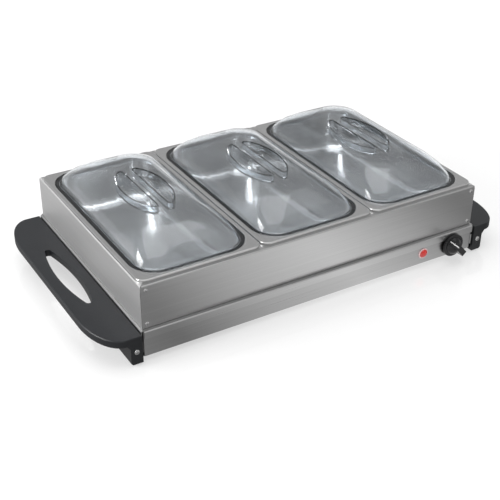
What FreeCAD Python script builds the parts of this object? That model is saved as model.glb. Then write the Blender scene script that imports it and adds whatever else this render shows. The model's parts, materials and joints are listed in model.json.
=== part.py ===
import FreeCAD, Part
import math
import os
from FreeCAD import Vector

# Electric food warmer tray: a heated base, a frame that lifts off it, three pans and three clear lids.
# Millimetres. X runs along the tray, -Y is the control side, Z is up from the feet.
# Shapes are drawn about the middle of the base and moved to the origin when they are written.

# Pans
PAN_NAMES = ("left", "middle", "right")
PAN_PITCH = 178.0
PAN_RIM_GAP = 1.6
PAN_LENGTH = 325.0
PAN_HEIGHT = 62.0
PAN_SHEET = 0.8
PAN_CORNER_RADIUS = 12.0
PAN_RIM_DROP = 4.0
PAN_RIM_ROLL = 1.6
PAN_DECK_WIDTH = 6.2
LID_RECESS_DEPTH = 2.6
LID_RECESS_RADIUS = 38.5
LID_LEDGE_WIDTH = 7.0
PAN_WALL_DRAFT = 4.0
PAN_FLOOR_RADIUS = 12.0
PAN_DECK_LAP = 1.6

# Lids
LID_CLEARANCE = 0.5
LID_WALL = 2.0
LID_FLANGE_THICKNESS = 2.2
LID_SKIRT_DEPTH = 2.0
LID_SKIRT_THICKNESS = 1.5
DOME_HEIGHT = 35.0
DOME_ROUNDNESS = 1.45
DOME_SECTIONS = 6
PLATEAU_WIDTH = 78.0
PLATEAU_LENGTH = 192.0
PLATEAU_RADIUS = 38.0
GRIP_WIDTH = 62.0
GRIP_LENGTH = 124.0
GRIP_DEPTH = 12.0
GRIP_BAR_WIDTH = 16.0
GRIP_EDGE_BEVEL = 0.6
GRIP_CORNER_RADIUS = 3.5
GRIP_FLOOR_BEVEL = 2.0

# Lift-off frame
FRAME_HEIGHT = 63.0
FRAME_SHEET = 0.8
FRAME_BEND_RADIUS = 0.8
FRAME_END_MARGIN = 0.5
FRAME_SIDE_MARGIN = 5.0
FRAME_FLANGE = 12.0
FRAME_FOOT_FLANGE = 8.0
FRAME_CORNER_CUT = 3.0
FRAME_LAP = 12.0
FRAME_LAP_END_GAP = 2.0
MITRE_GAP = 0.2
DIVIDER_WIDTH = 22.0
DIVIDER_DEPTH = 14.0
DIVIDER_TAB_LENGTH = 9.0
DIVIDER_TAB_WIDTH = 16.0
FRAME_SCREW_INSET = 7.0
FRAME_SCREW_DIAMETER = 3.0
FRAME_SCREW_HEAD = 6.0
FRAME_SCREW_HEAD_HEIGHT = 1.9
FRAME_NUT_FLATS = 5.5
FRAME_NUT_THICKNESS = 2.4

# Heated base
BASE_REACH_X = 3.0
BASE_REACH_Y = 6.3
BASE_HEIGHT = 38.0
BASE_SHEET = 0.8
BASE_BEND_RADIUS = 0.8
BASE_HEM = 11.0
BASE_CORNER_RELIEF = 3.0
GROUND_CLEARANCE = 8.5
HOUSING_GAP = 1.0
HOUSING_CORNER_RADIUS = 2.5
HOUSING_FLANGE = 12.0
COVER_SHEET = 0.8
COVER_INSET = 3.0
COVER_SCREW_INSET = 8.0
COVER_SCREW_DIAMETER = 3.5
COVER_SCREW_HEAD = 7.0
COVER_SCREW_HEAD_HEIGHT = 1.6
COVER_SCREW_LENGTH = 6.0
COVER_SCREWS_ALONG = 4
VENT_LENGTH = 60.0
VENT_WIDTH = 4.0
VENT_PITCH = 12.0
VENTS_PER_GROUP = 5
VENT_GROUP_SPACING = 300.0

# Heating element under the plate
ELEMENT_DIAMETER = 6.5
ELEMENT_CONTACT_GAP = 0.05
ELEMENT_RUNS = 4
ELEMENT_RUN_PITCH = 62.0
ELEMENT_LENGTH = 430.0
ELEMENT_SHIFT_X = -22.0
CLIP_SHEET = 0.8
CLIP_WIDTH = 14.0
CLIP_TAB = 8.0
CLIP_GAP = 0.1
REFLECTOR_LENGTH = 418.0
REFLECTOR_DEPTH = 270.0
REFLECTOR_DROP = 15.0
REFLECTOR_SHEET = 0.5
REFLECTOR_LIP = 8.0

# Controls on the front face
CONTROL_DROP = 21.5
KNOB_X = 231.0
LAMP_X = 178.0
BUSH_DIAMETER = 9.8
BUSH_HOLE_CLEARANCE = 0.3
BUSH_REACH = 3.6
BUSH_NUT_FLATS = 14.0
BUSH_NUT_THICKNESS = 2.4
SHAFT_DIAMETER = 6.0
SHAFT_CLEARANCE = 0.06
SHAFT_FLAT_DEPTH = 1.3
SHAFT_ENGAGEMENT = 12.0
SHAFT_TAIL = 9.0
THERMOSTAT_WIDTH = 26.0
THERMOSTAT_HEIGHT = 22.0
THERMOSTAT_DEPTH = 18.0
TERMINAL_BLADE = 6.3
KNOB_CLEARANCE = 0.8
KNOB_SKIRT_RADIUS = 17.5
KNOB_SKIRT_THICKNESS = 4.0
KNOB_HUB_RADIUS = 13.5
KNOB_HUB_HEIGHT = 9.5
KNOB_BAR_WIDTH = 8.7
KNOB_BAR_HEIGHT = 16.7
KNOB_BAR_HALF_BASE = 15.5
KNOB_BAR_HALF_TIP = 11.0
KNOB_RECESS_RADIUS = 10.5
KNOB_RECESS_CLEARANCE = 1.0
KNOB_REST_ANGLE = -42.0
POINTER_WIDTH = 1.5
POINTER_DEPTH = 0.5
POINTER_START = 2.0
LENS_DIAMETER = 13.0
LENS_HEIGHT = 4.0
BEZEL_DIAMETER = 16.5
BEZEL_HEIGHT = 1.4
LAMP_BODY_DIAMETER = 10.0
LAMP_BODY_LENGTH = 22.0
LAMP_CLIP_THICKNESS = 1.2

# Wiring and inlet at the back
TERMINAL_BLOCK_SIZE = (14.0, 34.0, 13.0)
TERMINAL_BLOCK_X = 244.0
TERMINAL_BLOCK_Y = 96.0
TERMINAL_WAYS = 3
WIRE_DIAMETER = 2.6
WIRE_BEND = 6.0
WIRE_LEAD = 14.0
GLAND_X = 231.0
GLAND_FLANGE_DIAMETER = 18.0
GLAND_FLANGE_THICKNESS = 2.5
GLAND_BODY_DIAMETER = 13.0
GLAND_BODY_LENGTH = 12.0
GLAND_BORE = 7.0
GLAND_NOSE_LENGTH = 3.5
CUTOUT_DIAMETER = 15.0
CUTOUT_HEIGHT = 7.0

# End handles with the legs moulded on
HANDLE_GAP = 0.4
HANDLE_REACH = 56.5
HANDLE_OVERHANG = 1.2
HANDLE_DROP = 3.0
HANDLE_SKIN = 3.0
HANDLE_SKIRT_DEPTH = 10.0
HANDLE_SKIRT_WALL = 3.0
HANDLE_CORNER_LENGTH = 70.0
HANDLE_END_LENGTH = 21.0
HANDLE_BEVEL = 0.9
SLOT_LENGTH = 152.0
SLOT_INNER_SETBACK = 14.5
SLOT_OUTER_SETBACK = 40.5
SLOT_END_INNER_SETBACK = 22.5
SLOT_END_OUTER_SETBACK = 31.5
SLOT_END_ROUND = 4.0
SLOT_WALL = 2.5
HANDLE_RIB = 2.0
HANDLE_RIBS_PER_SIDE = 3
LEG_WIDTH = 16.6
LEG_LENGTH = 41.0
LEG_CLEARANCE = 3.0
LEG_WALL = 3.0
LEG_FRONT_WALL = 4.0
LEG_FLARE_HEIGHT = 6.0
LEG_TOE_CHAMFER = 2.5
PAD_DIAMETER = 13.0
PAD_STEM_DIAMETER = 5.0
PAD_STEM_CLEARANCE = 0.1
PAD_SETBACK_Y = 9.5
PAD_SETBACK_X = 7.2
BRACKET_SHEET = 1.5
BRACKET_HEIGHT = 16.0
BRACKET_FOOT = 16.0
BRACKET_EAR = 13.0
BRACKET_GAP = 0.1
HANDLE_SCREW_DIAMETER = 4.0
HANDLE_SCREW_HEAD = 7.6
HANDLE_SCREW_HEAD_HEIGHT = 2.4
HANDLE_SCREW_X = 8.4
HANDLE_SCREW_DROP = 25.0
HANDLE_NUT_FLATS = 7.0
HANDLE_NUT_THICKNESS = 3.0
HOLE_CLEARANCE = 0.2
HEAD_TAPER = 0.6

# Sizes that follow from the ones above
BASE_TOP = GROUND_CLEARANCE + BASE_HEIGHT
FRAME_TOP = BASE_TOP + FRAME_HEIGHT
FRAME_LENGTH = PAN_PITCH * len(PAN_NAMES) + 2 * FRAME_END_MARGIN
FRAME_DEPTH = PAN_LENGTH + 2 * FRAME_SIDE_MARGIN
BASE_LENGTH = FRAME_LENGTH + 2 * BASE_REACH_X
BASE_DEPTH = FRAME_DEPTH + 2 * BASE_REACH_Y
PLATE_UNDERSIDE = BASE_TOP - BASE_SHEET
HOUSING_LENGTH = BASE_LENGTH - 2 * (BASE_SHEET + HOUSING_GAP)
HOUSING_DEPTH = BASE_DEPTH - 2 * (BASE_SHEET + HOUSING_GAP)
HOUSING_BOTTOM = GROUND_CLEARANCE
FRONT_WALL = -HOUSING_DEPTH / 2
BACK_WALL = HOUSING_DEPTH / 2
HEM_FACE = -BASE_DEPTH / 2
PAN_WIDTH = PAN_PITCH - PAN_RIM_GAP
DECK_TOP = FRAME_TOP + PAN_RIM_DROP
LEDGE_TOP = DECK_TOP - LID_RECESS_DEPTH
PAN_BOTTOM = DECK_TOP - PAN_HEIGHT
RECESS_WIDTH = PAN_WIDTH - 2 * PAN_DECK_WIDTH
RECESS_LENGTH = PAN_LENGTH - 2 * PAN_DECK_WIDTH
MOUTH_WIDTH = RECESS_WIDTH - 2 * LID_LEDGE_WIDTH
MOUTH_LENGTH = RECESS_LENGTH - 2 * LID_LEDGE_WIDTH
MOUTH_RADIUS = LID_RECESS_RADIUS - LID_LEDGE_WIDTH
LID_WIDTH = RECESS_WIDTH - 2 * LID_CLEARANCE
LID_LENGTH = RECESS_LENGTH - 2 * LID_CLEARANCE
LID_RADIUS = LID_RECESS_RADIUS - LID_CLEARANCE
LID_SEAT = LEDGE_TOP
LID_FLANGE_TOP = LID_SEAT + LID_FLANGE_THICKNESS
DOME_TOP = LID_FLANGE_TOP + DOME_HEIGHT
SKIRT_INSET = LID_CLEARANCE + LID_SKIRT_THICKNESS
CONTROL_HEIGHT = BASE_TOP - CONTROL_DROP
KNOB_BACK = HEM_FACE - KNOB_CLEARANCE
KNOB_FACE = KNOB_BACK - KNOB_SKIRT_THICKNESS
KNOB_TIP = KNOB_FACE - KNOB_BAR_HEIGHT
BUSH_END = FRONT_WALL - BUSH_REACH
KNOB_RECESS_END = min(BUSH_END, KNOB_BACK) - KNOB_RECESS_CLEARANCE
HANDLE_DEPTH = BASE_DEPTH + 2 * HANDLE_OVERHANG
HANDLE_INNER = BASE_LENGTH / 2 + HANDLE_GAP
HANDLE_OUTER = HANDLE_INNER + HANDLE_REACH
HANDLE_TOP = BASE_TOP - HANDLE_DROP
HANDLE_UNDERSIDE = HANDLE_TOP - HANDLE_SKIRT_DEPTH
GLAND_END = BACK_WALL + GLAND_FLANGE_THICKNESS + GLAND_NOSE_LENGTH
ORIGIN_Y = (max(BASE_DEPTH / 2, HANDLE_DEPTH / 2, GLAND_END) + KNOB_TIP) / 2

X_AXIS = Vector(1, 0, 0)
Y_AXIS = Vector(0, 1, 0)
Z_AXIS = Vector(0, 0, 1)
CENTRE = Vector(0, 0, 0)
SIDES = (-1, 1)
THROUGH = 1000.0


def unit(vector):
    """The vector at length one."""
    copy = Vector(vector)
    copy.normalize()
    return copy


def rounded_wire(points, radii):
    """A closed flat wire through the 2D points, each corner rounded by its radius."""
    corners = [Vector(x, y, 0) for x, y in points]
    starts, ends, edges = [], [], []
    for i, corner in enumerate(corners):
        before = unit(corners[i - 1] - corner)
        after = unit(corners[(i + 1) % len(corners)] - corner)
        if radii[i] <= 0:
            starts.append(corner)
            ends.append(corner)
            edges.append(None)
            continue
        half = before.getAngle(after) / 2
        reach = radii[i] / math.tan(half)
        middle = unit(before + after)
        centre = corner + middle * (radii[i] / math.sin(half))
        starts.append(corner + before * reach)
        ends.append(corner + after * reach)
        edges.append(Part.Arc(starts[i], centre - middle * radii[i], ends[i]).toShape())
    outline = []
    for i, corner in enumerate(corners):
        if edges[i]:
            outline.append(edges[i])
        following = starts[(i + 1) % len(corners)]
        if (following - ends[i]).Length > 1e-6:
            outline.append(Part.makeLine(ends[i], following))
    return Part.Wire(outline)


def rectangle_wire(length_x, length_y, radius, z):
    """A rounded rectangle about the Z axis at height z."""
    a, b = length_x / 2, length_y / 2
    wire = rounded_wire([(a, -b), (a, b), (-a, b), (-a, -b)], [radius] * 4)
    wire.translate(Vector(0, 0, z))
    return wire


def prism(wire, bottom, top):
    """A solid that stands on the wire between two heights."""
    solid = Part.Face(wire).extrude(Vector(0, 0, top - bottom))
    solid.translate(Vector(0, 0, bottom))
    return solid


def slab(length_x, length_y, radius, bottom, top):
    """A rounded rectangular plate about the Z axis."""
    return prism(rectangle_wire(length_x, length_y, radius, 0), bottom, top)


def ring(length_x, length_y, radius, wall, bottom, top):
    """An upright rounded rectangular wall whose outside has the given size."""
    outside = slab(length_x, length_y, radius, bottom, top)
    inside_radius = max(radius - wall, 0)
    inside = slab(length_x - 2 * wall, length_y - 2 * wall, inside_radius, bottom - 1, top + 1)
    return outside.cut(inside)


def box(x0, x1, y0, y1, z0, z1):
    """A box from its corner coordinates."""
    return Part.makeBox(x1 - x0, y1 - y0, z1 - z0, Vector(x0, y0, z0))


def cylinder(diameter, length, base, axis):
    """A cylinder that starts at base and runs along axis."""
    return Part.makeCylinder(diameter / 2, length, base, axis)


def joined(shapes):
    """One solid from shapes that overlap or share faces."""
    shapes = list(shapes)
    return shapes[0].multiFuse(shapes[1:]).removeSplitter()


def edges_at(shape, height):
    """The edges of a shape that lie at one height."""
    return [e for e in shape.Edges if all(abs(v.Z - height) < 1e-3 for v in e.Vertexes)
            and abs(e.BoundBox.ZMax - e.BoundBox.ZMin) < 1e-2]


def mirrored_x(shape):
    """The shape's mirror image across the middle from left to right."""
    return shape.mirror(CENTRE, X_AXIS)


def mirrored_y(shape):
    """The shape's mirror image across the middle from front to back."""
    return shape.mirror(CENTRE, Y_AXIS)


def sheet_section(points, sheet, bends):
    """A bent sheet's flat section: points run along one face, the sheet lies to their left, and
    bends holds the inner radius at each corner between."""
    path = [Vector(x, y, 0) for x, y in points]
    normals = [Z_AXIS.cross(unit(b - a)) for a, b in zip(path, path[1:])]
    other = [path[0] + normals[0] * sheet]
    radii, other_radii = [0], [0]
    for i in range(1, len(path) - 1):
        n, m = normals[i - 1], normals[i]
        other.append(path[i] + (n + m) * (sheet / (1 + n.dot(m))))
        turns_left = n.cross(m).z > 0
        inner, outer = bends[i - 1], bends[i - 1] + sheet
        radii.append(outer if turns_left else inner)
        other_radii.append(inner if turns_left else outer)
    other.append(path[-1] + normals[-1] * sheet)
    corners = [(p.x, p.y) for p in path + other[::-1]]
    return Part.Face(rounded_wire(corners, radii + [0, 0] + other_radii[::-1]))


def along_x(section, length):
    """Extrude a section drawn as (y, z) along X, centred."""
    solid = section.extrude(Vector(0, 0, length))
    solid.translate(Vector(0, 0, -length / 2))
    solid.rotate(CENTRE, Vector(1, 1, 1), 120)
    return solid


def along_y(section, length):
    """Extrude a section drawn as (x, z) along Y, centred."""
    solid = section.extrude(Vector(0, 0, length))
    solid.translate(Vector(0, 0, -length / 2))
    solid.rotate(CENTRE, X_AXIS, 90)
    return solid


def hexagon_nut(flats, thickness, bore, base, axis):
    """A nut that starts at base and runs along axis."""
    radius = flats / math.sqrt(3)
    points = [(radius * math.cos(math.radians(a)), radius * math.sin(math.radians(a))) for a in range(0, 360, 60)]
    nut = prism(rounded_wire(points, [0] * 6), 0, thickness)
    nut = nut.cut(cylinder(bore, thickness + 2, Vector(0, 0, -1), Z_AXIS))
    nut.Placement = FreeCAD.Placement(base, FreeCAD.Rotation(Z_AXIS, axis))
    return nut


def pan_screw(head, head_height, shank, length, seat, axis):
    """A pan-head screw whose head stands on seat, against axis, and whose shank runs along axis."""
    top = Part.makeCone(head / 2 * HEAD_TAPER, head / 2, head_height, Vector(0, 0, -head_height))
    screw = joined([top, cylinder(shank, length, Vector(0, 0, 0), Z_AXIS)])
    screw.Placement = FreeCAD.Placement(seat, FreeCAD.Rotation(Z_AXIS, axis))
    return screw


def tube(points, diameter, bend):
    """A round wire or rod along straight runs joined by tangent arcs."""
    nodes = [Vector(*p) for p in points]
    solids = []
    start = nodes[0]
    for before, corner, after in zip(nodes, nodes[1:], nodes[2:]):
        back = unit(before - corner)
        ahead = unit(after - corner)
        half = back.getAngle(ahead) / 2
        reach = bend / math.tan(half)
        centre = corner + unit(back + ahead) * (bend / math.sin(half))
        first = corner + back * reach
        solids.append(cylinder(diameter, (first - start).Length, start, -back))
        mouth = Part.Face(Part.Wire(Part.makeCircle(diameter / 2, first, back)))
        solids.append(mouth.revolve(centre, ahead.cross(back), 180 - math.degrees(2 * half)))
        start = corner + ahead * reach
    last = nodes[-1] - start
    solids.append(cylinder(diameter, last.Length, start, unit(last)))
    return joined(solids)


def pan_x(index):
    """The middle of a pan's place in the frame."""
    return (index - (len(PAN_NAMES) - 1) / 2) * PAN_PITCH


def carried_round(section, half_x, half_y):
    """Carry a section, drawn as (distance from a corner axis, height), round four sides and corners."""
    standing = section.copy()
    standing.rotate(CENTRE, X_AXIS, 90)
    corner = standing.revolve(CENTRE, Z_AXIS, 90)
    corner.translate(Vector(half_x, half_y, 0))
    end = standing.extrude(Vector(0, -2 * half_y, 0))
    end.translate(Vector(half_x, half_y, 0))
    side = standing.copy()
    side.rotate(CENTRE, Z_AXIS, 90)
    side = side.extrude(Vector(2 * half_x, 0, 0))
    side.translate(Vector(-half_x, half_y, 0))
    corners = [corner, mirrored_x(corner), mirrored_y(corner), mirrored_x(mirrored_y(corner))]
    return corners + [end, mirrored_x(end), side, mirrored_y(side)]


def pan_well():
    """The pan inside its deck: recess, ledge, drafted walls and rounded floor, in one bent sheet."""
    floor = PAN_BOTTOM + PAN_SHEET
    points = [(LID_RECESS_RADIUS + PAN_DECK_LAP, DECK_TOP), (LID_RECESS_RADIUS, DECK_TOP),
              (LID_RECESS_RADIUS, LEDGE_TOP), (MOUTH_RADIUS, LEDGE_TOP), (MOUTH_RADIUS - PAN_WALL_DRAFT, floor),
              (0, floor)]
    bends = [0, 0, 0, PAN_FLOOR_RADIUS - PAN_SHEET]
    section = sheet_section(points, PAN_SHEET, bends)
    half_x, half_y = RECESS_WIDTH / 2 - LID_RECESS_RADIUS, RECESS_LENGTH / 2 - LID_RECESS_RADIUS
    return carried_round(section, half_x, half_y) + [slab(2 * half_x, 2 * half_y, 0, PAN_BOTTOM, floor)]


def pan():
    """A pressed pan: rolled rim, flat deck, recess for the lid and a drafted well."""
    body = slab(PAN_WIDTH, PAN_LENGTH, PAN_CORNER_RADIUS, FRAME_TOP, DECK_TOP)
    body = body.makeFillet(PAN_RIM_ROLL, edges_at(body, DECK_TOP))
    inner_radius = PAN_CORNER_RADIUS - PAN_SHEET
    under = slab(PAN_WIDTH - 2 * PAN_SHEET, PAN_LENGTH - 2 * PAN_SHEET, inner_radius,
                 FRAME_TOP - 1, DECK_TOP - PAN_SHEET)
    under = under.makeFillet(PAN_RIM_ROLL - PAN_SHEET, edges_at(under, DECK_TOP - PAN_SHEET))
    lap = 2 * PAN_DECK_LAP
    mouth = slab(RECESS_WIDTH + lap, RECESS_LENGTH + lap, LID_RECESS_RADIUS + PAN_DECK_LAP, 0, THROUGH)
    return joined([body.cut(under).cut(mouth)] + pan_well())


def dome(width, length, radius, top_width, top_length, top_radius, bottom, top):
    """A vaulted solid that rises from a rounded rectangle and rounds over into a flat top."""
    sections = []
    for i in range(DOME_SECTIONS):
        angle = math.pi / 2 * i / (DOME_SECTIONS - 1)
        spread = math.cos(angle) ** (2 / DOME_ROUNDNESS)
        rise = math.sin(angle) ** (2 / DOME_ROUNDNESS)
        section = rectangle_wire(top_width + (width - top_width) * spread,
                                 top_length + (length - top_length) * spread,
                                 top_radius + (radius - top_radius) * spread,
                                 bottom + (top - bottom) * rise)
        sections.append(section)
    return Part.makeLoft(sections, True, True)


def grip_pockets(grow, bottom, top):
    """The two half ovals of the finger grip, either side of its bar."""
    oval = Part.Ellipse(CENTRE, GRIP_LENGTH / 2 + grow, GRIP_WIDTH / 2 + grow).toShape()
    oval.rotate(CENTRE, Z_AXIS, 90)
    solid = prism(Part.Wire(oval), bottom, top)
    bar = GRIP_BAR_WIDTH / 2 - grow
    half = solid.common(box(bar, THROUGH, -THROUGH, THROUGH, bottom - 1, top + 1))
    upright = [e for e in half.Edges if len(e.Vertexes) == 2 and abs(e.Vertexes[0].Z - e.Vertexes[1].Z) > 1]
    half = half.makeFillet(GRIP_CORNER_RADIUS + grow, upright)
    half = half.makeChamfer(GRIP_FLOOR_BEVEL, edges_at(half, bottom))
    return [half, mirrored_x(half)]


def lid():
    """A clear lid: flange in the pan's recess, locating skirt, dome and sunk finger grip."""
    foot = 2 * SKIRT_INSET
    skirt_radius = MOUTH_RADIUS - SKIRT_INSET
    inner_width, inner_length = MOUTH_WIDTH - foot, MOUTH_LENGTH - foot
    outer = dome(inner_width + 2 * LID_WALL, inner_length + 2 * LID_WALL, skirt_radius + LID_WALL,
                 PLATEAU_WIDTH, PLATEAU_LENGTH, PLATEAU_RADIUS, LID_FLANGE_TOP, DOME_TOP)
    inner = dome(inner_width, inner_length, skirt_radius,
                 PLATEAU_WIDTH - LID_WALL, PLATEAU_LENGTH - LID_WALL, PLATEAU_RADIUS - LID_WALL / 2,
                 LID_FLANGE_TOP, DOME_TOP - LID_WALL)
    flange = slab(LID_WIDTH, LID_LENGTH, LID_RADIUS, LID_SEAT, LID_FLANGE_TOP)
    flange = flange.cut(slab(inner_width, inner_length, skirt_radius, 0, THROUGH))
    skirt = ring(MOUTH_WIDTH - 2 * LID_CLEARANCE, MOUTH_LENGTH - 2 * LID_CLEARANCE, MOUTH_RADIUS - LID_CLEARANCE,
                 LID_SKIRT_THICKNESS, LID_SEAT - LID_SKIRT_DEPTH, LID_FLANGE_TOP)
    pockets = grip_pockets(0, DOME_TOP - GRIP_DEPTH, DOME_TOP + 1)
    pocket_walls = grip_pockets(LID_WALL, DOME_TOP - GRIP_DEPTH - LID_WALL, DOME_TOP - LID_WALL / 2)
    body = joined([outer.cut(inner), flange, skirt] + pocket_walls).cut(Part.makeCompound(pockets))
    rims = [e for e in edges_at(body, DOME_TOP) if abs(e.CenterOfMass.x) < GRIP_WIDTH / 2 + 1
            and e.BoundBox.XLength < GRIP_WIDTH / 2 + 1 and abs(e.CenterOfMass.y) < GRIP_LENGTH / 2]
    return body.makeChamfer(GRIP_EDGE_BEVEL, rims)


def mitre_cutter(length, depth):
    """Everything outside a band whose ends slope in at 45 degrees from a front edge."""
    reach = 60.0
    half = length / 2 - MITRE_GAP
    front = -depth / 2
    keep = rounded_wire([(-half, front), (half, front), (half - reach, front + reach),
                         (-half + reach, front + reach)], [0] * 4)
    return prism(keep, -THROUGH, THROUGH)


def frame_screw_places():
    """The x and z of the frame's screws on the front and back panels."""
    x = FRAME_LENGTH / 2 - FRAME_SCREW_INSET
    return [(side * x, BASE_TOP + z) for side in SIDES for z in (FRAME_SCREW_INSET, FRAME_HEIGHT - FRAME_SCREW_INSET)]


def frame_front_panel():
    """A long panel with a top flange, a foot flange, mitred ends and clipped top corners."""
    face = -FRAME_DEPTH / 2
    points = [(face + FRAME_FOOT_FLANGE, BASE_TOP), (face, BASE_TOP), (face, FRAME_TOP),
              (face + FRAME_FLANGE, FRAME_TOP)]
    channel = along_x(sheet_section(points[::-1], FRAME_SHEET, [FRAME_BEND_RADIUS] * 2), FRAME_LENGTH)
    web = box(-THROUGH, THROUGH, face - 1, face + FRAME_SHEET, BASE_TOP, FRAME_TOP)
    inner = channel.cut(web).common(mitre_cutter(FRAME_LENGTH, FRAME_DEPTH))
    panel = joined([channel.common(web), inner])
    cut = FRAME_CORNER_CUT
    for side in SIDES:
        corner = Vector(side * FRAME_LENGTH / 2, 0, FRAME_TOP)
        prongs = [corner, corner - Vector(side * cut, 0, 0), corner - Vector(0, 0, cut)]
        clip = Part.Face(Part.makePolygon(prongs + prongs[:1])).extrude(Vector(0, 4 * cut, 0))
        clip.translate(Vector(0, face - cut, 0))
        panel = panel.cut(clip)
    holes = [cylinder(FRAME_SCREW_DIAMETER + HOLE_CLEARANCE, 6, Vector(x, face - 2, z), Y_AXIS)
             for x, z in frame_screw_places()]
    return panel.cut(Part.makeCompound(holes))


def frame_end_panel():
    """The left end panel with top and foot flanges and a lap behind each long panel."""
    face = -FRAME_LENGTH / 2
    length = FRAME_DEPTH - 2 * FRAME_SHEET
    points = [(face + FRAME_FOOT_FLANGE, BASE_TOP), (face, BASE_TOP), (face, FRAME_TOP),
              (face + FRAME_FLANGE, FRAME_TOP)]
    channel = along_y(sheet_section(points[::-1], FRAME_SHEET, [FRAME_BEND_RADIUS] * 2), length)
    web = box(face - 1, face + FRAME_SHEET, -THROUGH, THROUGH, BASE_TOP, FRAME_TOP)
    keep = mitre_cutter(FRAME_DEPTH, FRAME_LENGTH)
    keep.rotate(CENTRE, Z_AXIS, -90)
    inner = channel.cut(web).common(keep)
    low, high = BASE_TOP + FRAME_LAP_END_GAP, FRAME_TOP - FRAME_LAP_END_GAP
    lap_face = length / 2
    laps = [box(face, face + FRAME_LAP, *sorted((side * lap_face, side * (lap_face - FRAME_SHEET))), low, high)
            for side in SIDES]
    panel = joined([channel.common(web), inner] + laps)
    holes = [cylinder(FRAME_SCREW_DIAMETER + HOLE_CLEARANCE, FRAME_DEPTH + 4, Vector(x, -FRAME_DEPTH / 2 - 2, z), Y_AXIS)
             for x, z in frame_screw_places() if x < 0]
    return panel.cut(Part.makeCompound(holes))


def frame_divider():
    """A cross channel between two pans, with a tab under each long flange."""
    half = DIVIDER_WIDTH / 2
    points = [(half, FRAME_TOP - DIVIDER_DEPTH), (half, FRAME_TOP), (-half, FRAME_TOP),
              (-half, FRAME_TOP - DIVIDER_DEPTH)]
    span = FRAME_DEPTH - 2 * FRAME_FLANGE
    channel = along_y(sheet_section(points, FRAME_SHEET, [FRAME_BEND_RADIUS] * 2), span)
    tab_top = FRAME_TOP - FRAME_SHEET
    tabs = [box(-DIVIDER_TAB_WIDTH / 2, DIVIDER_TAB_WIDTH / 2,
                *sorted((side * (span / 2 - DIVIDER_TAB_LENGTH), side * (span / 2 + DIVIDER_TAB_LENGTH))),
                tab_top - FRAME_SHEET, tab_top) for side in SIDES]
    return joined([channel] + tabs)


def frame_screws():
    """Eight screws through the long panels and the laps behind them."""
    reach = 2 * FRAME_SHEET + FRAME_NUT_THICKNESS + 1
    return [pan_screw(FRAME_SCREW_HEAD, FRAME_SCREW_HEAD_HEIGHT, FRAME_SCREW_DIAMETER, reach,
                        Vector(x, side * FRAME_DEPTH / 2, z), Y_AXIS * -side)
            for side in SIDES for x, z in frame_screw_places()]


def frame_nuts():
    """The nut behind each frame screw."""
    seat = FRAME_DEPTH / 2 - 2 * FRAME_SHEET
    return [hexagon_nut(FRAME_NUT_FLATS, FRAME_NUT_THICKNESS, FRAME_SCREW_DIAMETER, Vector(x, side * seat, z), Y_AXIS * -side)
            for side in SIDES for x, z in frame_screw_places()]


def base_top_plate():
    """The warming plate, its four edges folded down as hems with open corners."""
    half_y, half_x = BASE_DEPTH / 2, BASE_LENGTH / 2
    low = BASE_TOP - BASE_HEM
    long_section = sheet_section([(half_y, low), (half_y, BASE_TOP), (-half_y, BASE_TOP), (-half_y, low)],
                                 BASE_SHEET, [BASE_BEND_RADIUS] * 2)
    end_section = sheet_section([(half_x, low), (half_x, BASE_TOP), (-half_x, BASE_TOP), (-half_x, low)],
                                BASE_SHEET, [BASE_BEND_RADIUS] * 2)
    return joined([along_x(long_section, BASE_LENGTH - 2 * BASE_CORNER_RELIEF),
                   along_y(end_section, BASE_DEPTH - 2 * BASE_CORNER_RELIEF)])


def cover_screw_places():
    """Screws along both long edges of the bottom cover."""
    span = HOUSING_LENGTH - 2 * COVER_SCREW_INSET - 2 * COVER_INSET
    y = HOUSING_DEPTH / 2 - COVER_SCREW_INSET
    step = span / (COVER_SCREWS_ALONG - 1)
    return [(-span / 2 + i * step, side * y) for side in SIDES for i in range(COVER_SCREWS_ALONG)]


def base_housing():
    """The folded body under the plate, with holes for the controls, the inlet and its screws."""
    wall = ring(HOUSING_LENGTH, HOUSING_DEPTH, HOUSING_CORNER_RADIUS, BASE_SHEET, HOUSING_BOTTOM, PLATE_UNDERSIDE)
    floor = ring(HOUSING_LENGTH, HOUSING_DEPTH, HOUSING_CORNER_RADIUS, HOUSING_FLANGE,
                 HOUSING_BOTTOM, HOUSING_BOTTOM + BASE_SHEET)
    seat = ring(HOUSING_LENGTH, HOUSING_DEPTH, HOUSING_CORNER_RADIUS, HOUSING_FLANGE,
                PLATE_UNDERSIDE - BASE_SHEET, PLATE_UNDERSIDE)
    body = joined([wall, floor, seat])
    z = CONTROL_HEIGHT
    holes = [cylinder(BUSH_DIAMETER + 2 * BUSH_HOLE_CLEARANCE, 6, Vector(KNOB_X, FRONT_WALL - 2, z), Y_AXIS),
             cylinder(LAMP_BODY_DIAMETER + 2 * HOLE_CLEARANCE, 6, Vector(LAMP_X, FRONT_WALL - 2, z), Y_AXIS),
             cylinder(GLAND_BODY_DIAMETER + 2 * HOLE_CLEARANCE, 6, Vector(GLAND_X, BACK_WALL - 3, z), Y_AXIS)]
    holes += [cylinder(COVER_SCREW_DIAMETER + HOLE_CLEARANCE, 6, Vector(x, y, HOUSING_BOTTOM - 2), Z_AXIS)
              for x, y in cover_screw_places()]
    return body.cut(Part.makeCompound(holes))


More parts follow.
